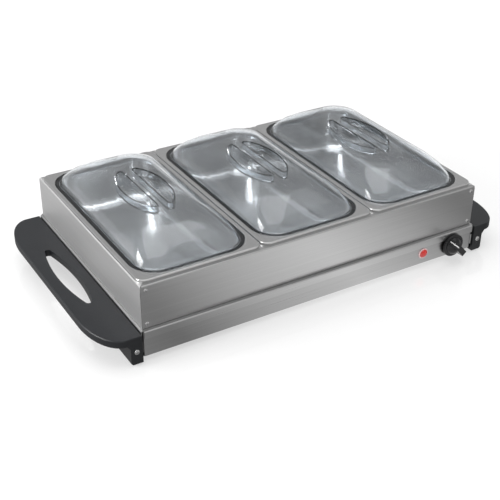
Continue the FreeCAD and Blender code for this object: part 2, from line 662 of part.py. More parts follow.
def base_bottom_cover():
    """The cover under the housing, with two groups of cooling slots."""
    length, depth = HOUSING_LENGTH - 2 * COVER_INSET, HOUSING_DEPTH - 2 * COVER_INSET
    cover = slab(length, depth, HOUSING_CORNER_RADIUS, HOUSING_BOTTOM - COVER_SHEET, HOUSING_BOTTOM)
    holes = [cylinder(COVER_SCREW_DIAMETER + HOLE_CLEARANCE, 6, Vector(x, y, HOUSING_BOTTOM - 3), Z_AXIS)
             for x, y in cover_screw_places()]
    for group in (-1, 1):
        for i in range(VENTS_PER_GROUP):
            slot = slab(VENT_WIDTH, VENT_LENGTH, VENT_WIDTH * 0.499, HOUSING_BOTTOM - 3, HOUSING_BOTTOM + 2)
            x = group * VENT_GROUP_SPACING / 2 + (i - (VENTS_PER_GROUP - 1) / 2) * VENT_PITCH
            slot.translate(Vector(x, 0, 0))
            holes.append(slot)
    return cover.cut(Part.makeCompound(holes))


def cover_screws():
    """The screws that hold the bottom cover."""
    return [pan_screw(COVER_SCREW_HEAD, COVER_SCREW_HEAD_HEIGHT, COVER_SCREW_DIAMETER, COVER_SCREW_LENGTH,
                        Vector(x, y, HOUSING_BOTTOM - COVER_SHEET), Z_AXIS) for x, y in cover_screw_places()]


def element_height():
    """The middle of the heating rod, pressed up under the plate."""
    return PLATE_UNDERSIDE - ELEMENT_CONTACT_GAP - ELEMENT_DIAMETER / 2


def element_run_y(run):
    """How far back one straight run of the heating rod lies."""
    return (run - (ELEMENT_RUNS - 1) / 2) * ELEMENT_RUN_PITCH


def heating_element():
    """One sheathed rod that runs to and fro under the plate in even bends."""
    near, far = ELEMENT_SHIFT_X - ELEMENT_LENGTH / 2, ELEMENT_SHIFT_X + ELEMENT_LENGTH / 2
    z = element_height()
    points = []
    for run in range(ELEMENT_RUNS):
        ends = (far, near) if run % 2 == 0 else (near, far)
        points += [(x, element_run_y(run), z) for x in ends]
    return tube(points, ELEMENT_DIAMETER, ELEMENT_RUN_PITCH * 0.49)


def element_clips():
    """Saddles that hold each run of the rod to the plate."""
    half = ELEMENT_DIAMETER / 2 + CLIP_GAP
    top = PLATE_UNDERSIDE
    low = element_height() - half
    points = [(-half - CLIP_TAB, top - CLIP_SHEET), (-half - CLIP_SHEET, top - CLIP_SHEET),
              (-half - CLIP_SHEET, low - CLIP_SHEET), (half + CLIP_SHEET, low - CLIP_SHEET),
              (half + CLIP_SHEET, top - CLIP_SHEET), (half + CLIP_TAB, top - CLIP_SHEET)]
    saddle = along_x(sheet_section(points, CLIP_SHEET, [0] * 4), CLIP_WIDTH)
    clips = []
    for run in range(ELEMENT_RUNS):
        for side in SIDES:
            clip = saddle.copy()
            clip.translate(Vector(ELEMENT_SHIFT_X + side * ELEMENT_LENGTH / 4, element_run_y(run), 0))
            clips.append(clip)
    return clips


def heat_reflector():
    """A bright tray under the rod, its lips against the underside of the plate."""
    half = REFLECTOR_DEPTH / 2
    top, low = PLATE_UNDERSIDE - REFLECTOR_SHEET, PLATE_UNDERSIDE - REFLECTOR_DROP
    points = [(half + REFLECTOR_LIP, top), (half, top), (half, low), (-half, low), (-half, top),
              (-half - REFLECTOR_LIP, top)]
    tray = along_x(sheet_section(points[::-1], REFLECTOR_SHEET, [REFLECTOR_SHEET] * 4), REFLECTOR_LENGTH)
    tray.translate(Vector(ELEMENT_SHIFT_X - (ELEMENT_LENGTH - REFLECTOR_LENGTH) / 2 - 6, 0, 0))
    return tray


def thermostat_bore(length_beyond):
    """The running bore for the control shaft, from its closed end out through the bush."""
    start = FRONT_WALL + BASE_SHEET + SHAFT_TAIL + length_beyond
    return cylinder(SHAFT_DIAMETER + 2 * SHAFT_CLEARANCE, THROUGH, Vector(KNOB_X, start, CONTROL_HEIGHT), -Y_AXIS)


def thermostat_body():
    """The switch block behind the front wall, with its bush and blade terminals."""
    front = FRONT_WALL + BASE_SHEET
    half, tall = THERMOSTAT_WIDTH / 2, THERMOSTAT_HEIGHT / 2
    block = slab(THERMOSTAT_WIDTH, THERMOSTAT_HEIGHT, 3, 0, THERMOSTAT_DEPTH)
    block.rotate(CENTRE, X_AXIS, -90)
    block.translate(Vector(KNOB_X, front, CONTROL_HEIGHT))
    bush = cylinder(BUSH_DIAMETER, BUSH_REACH + BASE_SHEET + 1, Vector(KNOB_X, front + 1, CONTROL_HEIGHT), -Y_AXIS)
    blades = [box(KNOB_X + side * half / 2 - TERMINAL_BLADE / 2, KNOB_X + side * half / 2 + TERMINAL_BLADE / 2,
                  front + THERMOSTAT_DEPTH - 1, front + THERMOSTAT_DEPTH + 8,
                  CONTROL_HEIGHT - tall / 2 - 0.4, CONTROL_HEIGHT - tall / 2 + 0.4) for side in SIDES]
    return joined([block, bush] + blades).cut(thermostat_bore(1.0))


def thermostat_nut():
    """The nut that clamps the thermostat's bush to the front wall."""
    return hexagon_nut(BUSH_NUT_FLATS, BUSH_NUT_THICKNESS, BUSH_DIAMETER,
                       Vector(KNOB_X, FRONT_WALL, CONTROL_HEIGHT), -Y_AXIS)


def shaft_profile(clearance, length):
    """A round shaft along -Y with a flat on the pointer side, grown by a clearance."""
    round_bar = cylinder(SHAFT_DIAMETER + 2 * clearance, length, CENTRE, -Y_AXIS)
    flat = SHAFT_DIAMETER / 2 - SHAFT_FLAT_DEPTH + clearance
    return round_bar.cut(box(-20, 20, -THROUGH, THROUGH, flat, 20))


def turned(shape):
    """Turn a shape drawn with the pointer straight up to the knob's resting angle."""
    shape.rotate(CENTRE, Y_AXIS, KNOB_REST_ANGLE)
    shape.translate(Vector(KNOB_X, 0, CONTROL_HEIGHT))
    return shape


def thermostat_shaft():
    """The shaft: round inside the bush, flatted where the knob grips it."""
    inner_end = FRONT_WALL + BASE_SHEET + SHAFT_TAIL
    flat_start = BUSH_END - 0.2
    tip = flat_start - SHAFT_ENGAGEMENT
    round_part = cylinder(SHAFT_DIAMETER, inner_end - flat_start, Vector(0, inner_end, 0), -Y_AXIS)
    flat_part = shaft_profile(0, flat_start - tip)
    flat_part.translate(Vector(0, flat_start, 0))
    return turned(joined([round_part, flat_part]))


def knob_bar_outline(inset):
    """The finger bar's side view as (depth, height) points, drawn in by an inset at its upper end."""
    base, tip = KNOB_BACK - KNOB_SKIRT_THICKNESS / 2, KNOB_TIP
    return [(base, -KNOB_BAR_HALF_BASE), (tip, -KNOB_BAR_HALF_TIP), (tip, KNOB_BAR_HALF_TIP - inset),
            (base, KNOB_BAR_HALF_BASE - inset)]


def knob_bar(inset, width):
    """The finger bar across the knob."""
    return along_x(Part.Face(rounded_wire(knob_bar_outline(inset), [0, 3, 2, 0])), width)


def control_knob():
    """The knob: skirt, domed hub, tapered finger bar, hollow back and a flatted bore."""
    skirt = cylinder(2 * KNOB_SKIRT_RADIUS, KNOB_SKIRT_THICKNESS, Vector(0, KNOB_BACK, 0), -Y_AXIS)
    front = [e for e in skirt.Edges if abs(e.CenterOfMass.y - KNOB_FACE) < 1e-3 and len(e.Vertexes) == 1]
    skirt = skirt.makeFillet(KNOB_SKIRT_THICKNESS * 0.4, front)
    radius, height = KNOB_HUB_RADIUS, KNOB_HUB_HEIGHT
    ball = (radius * radius + height * height) / (2 * height)
    hub = Part.makeSphere(ball, Vector(0, KNOB_FACE - height + ball, 0))
    hub = hub.common(cylinder(2 * radius, height + 1, Vector(0, KNOB_FACE + 1, 0), -Y_AXIS))
    bar = knob_bar(0, KNOB_BAR_WIDTH)
    recess = cylinder(2 * KNOB_RECESS_RADIUS, KNOB_BACK - KNOB_RECESS_END, Vector(0, KNOB_BACK, 0), -Y_AXIS)
    bore = shaft_profile(0.05, BUSH_END - KNOB_TIP)
    bore.translate(Vector(0, BUSH_END + 1, 0))
    bore = bore.common(box(-20, 20, BUSH_END - SHAFT_ENGAGEMENT - 1, KNOB_BACK + 5, -20, 20))
    body = joined([skirt, hub, bar]).cut(recess).cut(bore)
    return turned(body.cut(pointer_strip()))


def pointer_strip():
    """The line let into the upper end of the finger bar."""
    bar = knob_bar(0, POINTER_WIDTH)
    strip = bar.cut(knob_bar(POINTER_DEPTH, POINTER_WIDTH + 2))
    return strip.common(box(-20, 20, KNOB_TIP - 1, KNOB_FACE - POINTER_START, 0, KNOB_SKIRT_RADIUS))


def knob_pointer():
    """The pale line inlaid in the knob, turned with it."""
    return turned(pointer_strip())


def lamp_lens():
    """The domed pilot lens with a stem in the lamp body."""
    radius, height = LENS_DIAMETER / 2, LENS_HEIGHT
    ball = (radius * radius + height * height) / (2 * height)
    seat = FRONT_WALL - BEZEL_HEIGHT
    lens = Part.makeSphere(ball, Vector(LAMP_X, seat - height + ball, CONTROL_HEIGHT))
    lens = lens.common(cylinder(LENS_DIAMETER, height, Vector(LAMP_X, seat, CONTROL_HEIGHT), -Y_AXIS))
    stem = cylinder(LENS_DIAMETER, BEZEL_HEIGHT, Vector(LAMP_X, FRONT_WALL, CONTROL_HEIGHT), -Y_AXIS)
    return joined([lens, stem])


def lamp_bezel():
    """The thin ring around the pilot lens."""
    outer = cylinder(BEZEL_DIAMETER, BEZEL_HEIGHT, Vector(LAMP_X, FRONT_WALL, CONTROL_HEIGHT), -Y_AXIS)
    front = [e for e in outer.Edges if abs(e.CenterOfMass.y - FRONT_WALL + BEZEL_HEIGHT) < 1e-3
             and len(e.Vertexes) == 1]
    outer = outer.makeChamfer(BEZEL_HEIGHT / 2, front)
    bore = cylinder(LENS_DIAMETER, 10, Vector(LAMP_X, FRONT_WALL + 5, CONTROL_HEIGHT), -Y_AXIS)
    return outer.cut(bore)


def lamp_body():
    """The lamp holder behind the wall, with its retaining collar and two tails."""
    inside = FRONT_WALL + BASE_SHEET
    barrel = cylinder(LAMP_BODY_DIAMETER, LAMP_BODY_LENGTH, Vector(LAMP_X, FRONT_WALL, CONTROL_HEIGHT), Y_AXIS)
    collar = cylinder(LAMP_BODY_DIAMETER + 5, LAMP_CLIP_THICKNESS, Vector(LAMP_X, inside, CONTROL_HEIGHT), Y_AXIS)
    return joined([barrel, collar])


def terminal_block():
    """The row of screw terminals on the floor of the housing."""
    size_x, size_y, size_z = TERMINAL_BLOCK_SIZE
    x0 = TERMINAL_BLOCK_X - size_x / 2
    y0 = TERMINAL_BLOCK_Y - size_y / 2
    floor = HOUSING_BOTTOM
    base = box(x0, x0 + size_x, y0, y0 + size_y, floor, floor + size_z * 0.4)
    pitch = size_y / TERMINAL_WAYS
    towers = [box(x0 + 2, x0 + size_x - 2, y0 + i * pitch + 1, y0 + (i + 1) * pitch - 1, floor, floor + size_z)
              for i in range(TERMINAL_WAYS)]
    bores = [cylinder(WIRE_DIAMETER + 1, size_x, Vector(x0 + 2, y0 + (i + 0.5) * pitch, floor + size_z * 0.65), X_AXIS)
             for i in range(TERMINAL_WAYS)]
    return joined([base] + towers).cut(Part.makeCompound(bores))


def terminal_y(way):
    """The middle of one way of the terminal block."""
    return TERMINAL_BLOCK_Y + (way - (TERMINAL_WAYS - 1) / 2) * TERMINAL_BLOCK_SIZE[1] / TERMINAL_WAYS


def thermal_cutout():
    """The safety cut-out held against the plate beside the rod."""
    x = ELEMENT_SHIFT_X + ELEMENT_LENGTH / 2 + CUTOUT_DIAMETER
    return cylinder(CUTOUT_DIAMETER, CUTOUT_HEIGHT, Vector(x, 0, PLATE_UNDERSIDE - CUTOUT_HEIGHT), Z_AXIS)


def internal_wires():
    """Leads between the terminals, the thermostat, the cut-out and the heating rod."""
    rod_end = ELEMENT_SHIFT_X + ELEMENT_LENGTH / 2
    front_run, back_run = element_run_y(0), element_run_y(ELEMENT_RUNS - 1)
    rod_z = element_height()
    wire_z = HOUSING_BOTTOM + TERMINAL_BLOCK_SIZE[2] * 0.65
    blade_y = FRONT_WALL + BASE_SHEET + THERMOSTAT_DEPTH + 8
    blade_z = CONTROL_HEIGHT - THERMOSTAT_HEIGHT / 4
    block_x = TERMINAL_BLOCK_X - TERMINAL_BLOCK_SIZE[0] / 2 + 2
    blade_x = [KNOB_X + side * THERMOSTAT_WIDTH / 4 for side in SIDES]
    routes = [[(rod_end, front_run, rod_z), (rod_end + WIRE_LEAD, front_run, rod_z),
               (blade_x[0], blade_y + WIRE_LEAD, blade_z), (blade_x[0], blade_y, blade_z)],
              [(rod_end, back_run, rod_z), (rod_end + WIRE_LEAD, back_run, rod_z),
               (block_x - WIRE_LEAD, terminal_y(2), wire_z), (block_x, terminal_y(2), wire_z)],
              [(blade_x[1], blade_y, blade_z), (blade_x[1], blade_y + WIRE_LEAD, blade_z),
               (block_x - WIRE_LEAD, terminal_y(0), wire_z), (block_x, terminal_y(0), wire_z)]]
    return [tube(route, WIRE_DIAMETER, WIRE_BEND) for route in routes]


def cord_gland():
    """The bush in the back wall where the supply cord enters."""
    z = CONTROL_HEIGHT
    flange = cylinder(GLAND_FLANGE_DIAMETER, GLAND_FLANGE_THICKNESS, Vector(GLAND_X, BACK_WALL, z), Y_AXIS)
    nose = Part.makeCone(GLAND_BODY_DIAMETER / 2, GLAND_BORE / 2 + 1.5, GLAND_NOSE_LENGTH,
                         Vector(GLAND_X, BACK_WALL + GLAND_FLANGE_THICKNESS, z), Y_AXIS)
    body = cylinder(GLAND_BODY_DIAMETER, GLAND_BODY_LENGTH, Vector(GLAND_X, BACK_WALL, z), -Y_AXIS)
    bore = cylinder(GLAND_BORE, THROUGH, Vector(GLAND_X, BACK_WALL - THROUGH / 2, z), Y_AXIS)
    return joined([flange, nose, body]).cut(bore)


def handle_outline(inset):
    """The right handle's plan: straight against the base, with swept outer corners."""
    inner, outer = HANDLE_INNER + inset, HANDLE_OUTER - inset
    half = HANDLE_DEPTH / 2 - inset
    straight = HANDLE_DEPTH / 2 - HANDLE_CORNER_LENGTH
    end_x = HANDLE_INNER + HANDLE_END_LENGTH
    sweep_x, sweep_y = outer - end_x, half - straight
    middle = math.sqrt(0.5)

    def corner(side):
        """A quarter of an ellipse from the flat end to the long outer edge."""
        major = Vector(end_x, side * half, 0)
        minor = Vector(outer, side * straight, 0)
        ellipse = Part.Ellipse(major, minor, Vector(end_x, side * straight, 0))
        point = Vector(end_x + sweep_x * middle, side * (straight + sweep_y * middle), 0)
        first, last = sorted((ellipse.parameter(major), ellipse.parameter(minor)))
        arc = Part.ArcOfEllipse(ellipse, first, last).toShape()
        if arc.distToShape(Part.Vertex(point))[0] > 1e-3:
            arc = Part.ArcOfEllipse(ellipse, last, first + 2 * math.pi).toShape()
        return arc

    front, back = corner(-1), corner(1)
    return Part.Wire([Part.makeLine(Vector(inner, -half, 0), Vector(end_x, -half, 0)), front,
                      Part.makeLine(Vector(outer, -straight, 0), Vector(outer, straight, 0)), back,
                      Part.makeLine(Vector(end_x, half, 0), Vector(inner, half, 0)),
                      Part.makeLine(Vector(inner, half, 0), Vector(inner, -half, 0))])


def slot_outline(grow):
    """The hand slot's plan: two long bows that meet in blunt rounded ends."""
    half = SLOT_LENGTH / 2 + grow
    shoulder = SLOT_LENGTH / 2 - SLOT_END_ROUND
    inner, outer = HANDLE_INNER + SLOT_INNER_SETBACK - grow, HANDLE_INNER + SLOT_OUTER_SETBACK + grow
    end_inner = HANDLE_INNER + SLOT_END_INNER_SETBACK - grow
    end_outer = HANDLE_INNER + SLOT_END_OUTER_SETBACK + grow
    end_x = (end_inner + end_outer) / 2
    points = [(end_inner, -shoulder), (inner, 0), (end_inner, shoulder), (end_x, half),
              (end_outer, shoulder), (outer, 0), (end_outer, -shoulder), (end_x, -half)]
    vectors = [Vector(x, y, 0) for x, y in points] + [Vector(end_inner, -shoulder, 0)]
    arcs = [Part.Arc(*vectors[i:i + 3]).toShape() for i in range(0, 8, 2)]
    return Part.Wire(arcs)


def leg_shell():
    """The front leg under the right handle: flared at the top and hollow towards the base."""
    x0 = HANDLE_INNER
    outer = x0 + LEG_WIDTH
    flare = x0 + HANDLE_END_LENGTH
    front = -HANDLE_DEPTH / 2
    low, high = LEG_CLEARANCE, HANDLE_TOP - HANDLE_SKIN / 2
    neck = HANDLE_UNDERSIDE - LEG_FLARE_HEIGHT

    def profile(wall, bottom):
        toe = LEG_TOE_CHAMFER
        points = [(x0 - wall, bottom), (outer - toe - wall / 2, bottom), (outer - wall, bottom + toe - wall / 2),
                  (outer - wall, neck), (flare - wall, HANDLE_UNDERSIDE), (flare - wall, high), (x0 - wall, high)]
        return Part.Face(rounded_wire(points, [0] * len(points)))

    shell = along_y(profile(0, low), LEG_LENGTH)
    hollow_length = LEG_LENGTH - LEG_FRONT_WALL - LEG_WALL
    hollow = along_y(profile(LEG_WALL, low + LEG_WALL), hollow_length)
    shell.translate(Vector(0, front + LEG_LENGTH / 2, 0))
    hollow.translate(Vector(0, front + LEG_FRONT_WALL + hollow_length / 2, 0))
    return shell, hollow


def pad_place():
    """The middle of the front pad under the right handle."""
    return HANDLE_INNER + PAD_SETBACK_X, -HANDLE_DEPTH / 2 + LEG_LENGTH - PAD_SETBACK_Y


def handle_screw_place():
    """The x and z of the screw in the right handle's legs."""
    return HANDLE_INNER + HANDLE_SCREW_X, BASE_TOP - HANDLE_SCREW_DROP


def handle():
    """The right handle: bevelled plate, skirt, hand slot with its collar, ribs and two legs."""
    plate = prism(handle_outline(0), HANDLE_UNDERSIDE, HANDLE_TOP)
    plate = plate.makeChamfer(HANDLE_BEVEL, edges_at(plate, HANDLE_TOP))
    plate = plate.cut(prism(handle_outline(HANDLE_SKIRT_WALL), HANDLE_UNDERSIDE - 1, HANDLE_TOP - HANDLE_SKIN))
    collar = prism(slot_outline(SLOT_WALL), HANDLE_UNDERSIDE, HANDLE_TOP - HANDLE_SKIN / 2)
    first = SLOT_LENGTH / 2 + SLOT_WALL + 10
    last = HANDLE_DEPTH / 2 - LEG_LENGTH
    step = (last - first) / max(HANDLE_RIBS_PER_SIDE - 1, 1)
    ribs = []
    for side in SIDES:
        for i in range(HANDLE_RIBS_PER_SIDE):
            y = side * (first + i * step)
            rib = box(HANDLE_INNER + 1, HANDLE_OUTER, y - HANDLE_RIB / 2, y + HANDLE_RIB / 2,
                      HANDLE_UNDERSIDE + 2, HANDLE_TOP - HANDLE_SKIN / 2)
            ribs.append(rib.common(prism(handle_outline(HANDLE_SKIRT_WALL / 2), 0, THROUGH)))
    shell, hollow = leg_shell()
    x, z = handle_screw_place()
    screw_hole = cylinder(HANDLE_SCREW_DIAMETER + HOLE_CLEARANCE, LEG_FRONT_WALL + 4,
                          Vector(x, -HANDLE_DEPTH / 2 - 2, z), Y_AXIS)
    pad_x, pad_y = pad_place()
    stem_hole = cylinder(PAD_STEM_DIAMETER + 2 * PAD_STEM_CLEARANCE, LEG_WALL + 4, Vector(pad_x, pad_y, 0), Z_AXIS)
    cuts = [hollow, screw_hole, stem_hole]
    body = joined([plate, collar, shell, mirrored_y(shell)] + ribs)
    slot = prism(slot_outline(0), HANDLE_UNDERSIDE - 1, HANDLE_TOP + 1)
    return body.cut(Part.makeCompound(cuts + [mirrored_y(c) for c in cuts] + [slot]))


def foot_pads():
    """A rubber pad pushed into the floor of each leg."""
    x, y = pad_place()
    disc = cylinder(PAD_DIAMETER, LEG_CLEARANCE, Vector(x, y, 0), Z_AXIS)
    stem = cylinder(PAD_STEM_DIAMETER, LEG_WALL, Vector(x, y, LEG_CLEARANCE), Z_AXIS)
    head = Part.makeCone(PAD_STEM_DIAMETER / 2 + 1, PAD_STEM_DIAMETER / 2 - 0.5, 2,
                         Vector(x, y, LEG_CLEARANCE + LEG_WALL), Z_AXIS)
    return four_corners(joined([disc, stem, head]))


def four_corners(shape):
    """A piece at the right front corner and its copies at the other three."""
    pair = [shape, mirrored_y(shape)]
    return pair + [mirrored_x(s) for s in pair]


def handle_brackets():
    """Angle brackets on the housing's ends that the legs are screwed to."""
    x, z = handle_screw_place()
    wall_x = HOUSING_LENGTH / 2
    ear_front = -HANDLE_DEPTH / 2 + LEG_FRONT_WALL + BRACKET_GAP
    points = [(wall_x, ear_front + BRACKET_FOOT), (wall_x, ear_front), (wall_x + BRACKET_EAR, ear_front)]
    section = sheet_section(points, BRACKET_SHEET, [BRACKET_SHEET / 2])
    bracket = section.extrude(Vector(0, 0, BRACKET_HEIGHT))
    bracket.translate(Vector(0, 0, z - BRACKET_HEIGHT / 2))
    hole = cylinder(HANDLE_SCREW_DIAMETER + HOLE_CLEARANCE, 2 * BRACKET_SHEET + 2, Vector(x, ear_front - 1, z), Y_AXIS)
    return four_corners(bracket.cut(hole))


def handle_screws():
    """The bright screw in each leg."""
    x, z = handle_screw_place()
    length = LEG_FRONT_WALL + BRACKET_GAP + BRACKET_SHEET + HANDLE_NUT_THICKNESS + 1
    return four_corners(pan_screw(HANDLE_SCREW_HEAD, HANDLE_SCREW_HEAD_HEIGHT, HANDLE_SCREW_DIAMETER, length,
                                    Vector(x, -HANDLE_DEPTH / 2, z), Y_AXIS))


def handle_nuts():
    """The nut behind each bracket ear."""
    x, z = handle_screw_place()
    seat = -HANDLE_DEPTH / 2 + LEG_FRONT_WALL + BRACKET_GAP + BRACKET_SHEET
    return four_corners(hexagon_nut(HANDLE_NUT_FLATS, HANDLE_NUT_THICKNESS, HANDLE_SCREW_DIAMETER,
                                    Vector(x, seat, z), Y_AXIS))


def write(name, shape):
    """Move a sub-part to the origin and write its file."""
    if isinstance(shape, (list, tuple)):
        shape = Part.makeCompound(shape)
    shape = shape.copy()
    shape.translate(Vector(0, -ORIGIN_Y, 0))
    shape.exportStep("parts/%s.step" % name)
    print("%-22s solids %2d  volume %10.1f  valid %s" % (name, len(shape.Solids), shape.Volume, shape.isValid()))


def main():
    """Write every piece as a STEP file."""
    os.makedirs("parts", exist_ok=True)
    write("base_top_plate", base_top_plate())
    write("base_housing", base_housing())
    write("base_bottom_cover", base_bottom_cover())
    write("cover_screws", cover_screws())
    write("heating_element", heating_element())
    write("element_clips", element_clips())
    write("heat_reflector", heat_reflector())
    write("thermal_cutout", thermal_cutout())
    write("thermostat_body", thermostat_body())
    write("thermostat_nut", thermostat_nut())
    write("thermostat_shaft", thermostat_shaft())
    write("control_knob", control_knob())
    write("knob_pointer", knob_pointer())
    write("pilot_lens", lamp_lens())
    write("pilot_bezel", lamp_bezel())
    write("pilot_lamp_body", lamp_body())
    write("terminal_block", terminal_block())
    write("internal_wires", internal_wires())
    write("cord_gland", cord_gland())
    right_handle = handle()
    write("handle_right", right_handle)
    write("handle_left", mirrored_x(right_handle))
    write("foot_pads", foot_pads())
    write("handle_brackets", handle_brackets())
    write("handle_screws", handle_screws())
    write("handle_nuts", handle_nuts())
    front_panel = frame_front_panel()
    write("frame_front_panel", front_panel)
    write("frame_back_panel", mirrored_y(front_panel))
    end_panel = frame_end_panel()
    write("frame_left_panel", end_panel)
    write("frame_right_panel", mirrored_x(end_panel))
    for i, name in enumerate(PAN_NAMES[:-1]):
        divider = frame_divider()
        divider.translate(Vector((pan_x(i) + pan_x(i + 1)) / 2, 0, 0))
        write("frame_divider_%s" % ("left", "right")[i], divider)
    write("frame_screws", frame_screws())
    write("frame_nuts", frame_nuts())
    one_pan, one_lid = pan(), lid()
    for i, name in enumerate(PAN_NAMES):
        place = Vector(pan_x(i), 0, 0)
        write("pan_%s" % name, one_pan.translated(place))
        write("lid_%s" % name, one_lid.translated(place))


main()
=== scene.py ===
# %% [markdown]
# Electric food warmer tray
#
# The object is a heated steel base on two black end handles, a steel frame that lifts off it,
# three pressed pans and three clear lids. The solids come ready-made at their real size, so this
# lesson is about finishes, small fasteners, light and the camera. Everything is in metres, and
# the solids stay where they are.

# %% Load the solids and measure them
import bmesh
import bpy
import json
import math
from mathutils import Matrix, Vector

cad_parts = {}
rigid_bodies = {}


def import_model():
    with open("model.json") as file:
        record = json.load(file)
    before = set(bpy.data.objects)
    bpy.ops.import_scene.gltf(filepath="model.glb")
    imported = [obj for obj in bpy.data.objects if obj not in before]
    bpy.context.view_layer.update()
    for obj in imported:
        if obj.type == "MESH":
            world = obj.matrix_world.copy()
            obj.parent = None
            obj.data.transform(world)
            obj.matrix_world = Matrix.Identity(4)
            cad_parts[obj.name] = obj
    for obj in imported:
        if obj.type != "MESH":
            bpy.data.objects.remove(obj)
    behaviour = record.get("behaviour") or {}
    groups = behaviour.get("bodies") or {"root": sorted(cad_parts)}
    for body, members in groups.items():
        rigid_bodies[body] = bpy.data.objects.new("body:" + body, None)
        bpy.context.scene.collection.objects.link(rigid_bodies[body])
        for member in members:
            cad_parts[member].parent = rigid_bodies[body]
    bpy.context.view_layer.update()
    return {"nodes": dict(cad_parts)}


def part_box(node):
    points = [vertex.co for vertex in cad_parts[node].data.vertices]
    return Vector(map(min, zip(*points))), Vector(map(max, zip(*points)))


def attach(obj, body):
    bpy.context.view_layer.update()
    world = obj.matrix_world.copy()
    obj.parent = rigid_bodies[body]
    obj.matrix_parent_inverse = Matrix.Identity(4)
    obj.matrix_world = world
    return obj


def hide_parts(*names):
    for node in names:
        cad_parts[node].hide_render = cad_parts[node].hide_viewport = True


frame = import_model()
NODES = frame["nodes"]
PLATE_LOW, PLATE_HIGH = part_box("base_top_plate")
BASE_TOP = PLATE_HIGH.z
MIDDLE_Y = (PLATE_LOW.y + PLATE_HIGH.y) / 2

# %% [markdown]
# Shader maths as plain expressions
#
# A finish is a small sum: grain times strength plus a base value. Wiring it by hand hides the sum
# in boxes, so one class wraps a socket and lets Python's own operators add the Math nodes. Every
# other node comes from one method that takes the node's type, its settings and its inputs.

# %% A signal that can be added and multiplied
class Signal:
    """A number, colour or vector on its way through a material."""

    def __init__(self, finish, socket):
        self.finish = finish
        self.socket = socket

    def maths(self, operation, first, second):
        return self.finish.node("ShaderNodeMath", {"operation": operation}, {0: first, 1: second})

    def __add__(self, other):
        return self.maths("ADD", self, other)

    def __radd__(self, other):
        return self.maths("ADD", other, self)

    def __sub__(self, other):
        return self.maths("SUBTRACT", self, other)

    def __rsub__(self, other):
        return self.maths("SUBTRACT", other, self)

    def __mul__(self, other):
        return self.maths("MULTIPLY", self, other)

    def __rmul__(self, other):
        return self.maths("MULTIPLY", other, self)

    def __pow__(self, other):
        return self.maths("POWER", self, other)


# %% One method for every node
class Wiring:
    """A node tree of a material, a world or a shape."""

    def __init__(self, tree):
        self.tree = tree

    def node(self, kind, settings=None, inputs=None, output=0):
        """A node of a type, with its settings, then the values or links of its sockets."""
        made = self.tree.nodes.new(kind)
        for key, value in (settings or {}).items():
            if key == "stops":
                self.set_stops(made.color_ramp, value)
            else:
                setattr(made, key, value)
        for key, value in (inputs or {}).items():
            self.feed(made.inputs[key], value)
        return Signal(self, made.outputs[output])

    @staticmethod
    def set_stops(ramp, stops):
        while len(ramp.elements) < len(stops):
            ramp.elements.new(1.0)
        for element, (place, grey) in zip(ramp.elements, stops):
            element.position = place
            element.color = (grey, grey, grey, 1.0)

    def feed(self, socket, value):
        if isinstance(value, Signal):
            self.tree.links.new(value.socket, socket)
        else:
            socket.default_value = value


# %% A finish on a Principled shader
class Finish(Wiring):
    """A material with its shader and its output at hand."""

    def __init__(self, name, **constants):
        self.material = bpy.data.materials.new(name)
        self.material.use_nodes = True
        super().__init__(self.material.node_tree)
        self.shader = self.tree.nodes["Principled BSDF"]
        self.end = self.tree.nodes["Material Output"]
        for socket, value in constants.items():
            self.shader.inputs[socket.replace("_", " ")].default_value = value

    def set(self, socket, value):
        self.feed(self.shader.inputs[socket], value)

    def place(self, scale=(1, 1, 1)):
        """Object coordinates, stretched by a scale for each axis."""
        here = self.node("ShaderNodeTexCoord", output="Object")
        return self.node("ShaderNodeMapping", inputs={"Vector": here, "Scale": scale})

    def noise(self, scale, stretch=(1, 1, 1), detail=3.0, roughness=0.6):
        return self.node("ShaderNodeTexNoise", {}, {"Vector": self.place(stretch), "Scale": scale,
                                                    "Detail": detail, "Roughness": roughness})

    def blend(self, amount, low, high):
        """A colour between two, by a number from 0 to 1."""
        return self.node("ShaderNodeMix", {"data_type": "RGBA"}, {"Factor": amount, 6: low, 7: high}, 2)

    def ramp(self, signal, stops):
        return self.node("ShaderNodeValToRGB", {"stops": stops}, {0: signal})

    def bump(self, height, distance, strength=1.0):
        return self.node("ShaderNodeBump", {}, {"Height": height, "Distance": distance, "Strength": strength})


def grey(value):
    """An opaque grey."""
    return (value, value, value, 1.0)


def dress(names, finish):
    """Give solids a finish."""
    for name in names:
        node = NODES[name]
        node.data.materials.clear()
        node.data.materials.append(finish.material)
    print(finish.material.name, "on", len(names), "solids")


# %% [markdown]
# Brushed steel
#
# The body is stainless sheet that was brushed in one direction before it was folded. The grain
# runs along each panel, so the scratches are long on that axis and hair-fine across it. A noise
# stretched a few hundred times along the grain gives both, and it drives colour, roughness and a
# very shallow bump. A slow second noise keeps large faces from looking printed.

# %% Brushed steel with the grain along one axis
GRAIN_FINE = 1400.0
GRAIN_COARSE = 420.0
GRAIN_STRETCH = 0.006
CLOUD_SCALE = 7.0


def brushed_steel(name, axis, tone, roughness, metallic):
    """Stainless sheet with its grain along axis 0, 1 or 2."""
    steel = Finish(name, Metallic=metallic)
    stretch = [1.0, 1.0, 1.0]
    stretch[axis] = GRAIN_STRETCH
    fine = steel.noise(GRAIN_FINE, stretch, 2.0)
    coarse = steel.noise(GRAIN_COARSE, stretch, 4.0)
    cloud = steel.noise(CLOUD_SCALE, (1, 1, 1), 3.0)
    grain = fine * 0.6 + coarse * 0.4
    steel.set("Base Color", steel.blend(grain, grey(tone - 0.10), grey(tone + 0.10)))
    steel.set("Roughness", grain * 0.14 + (cloud * 0.06 + (roughness - 0.10)))
    steel.set("Normal", steel.bump(grain, 0.00006, 0.5))
    return steel


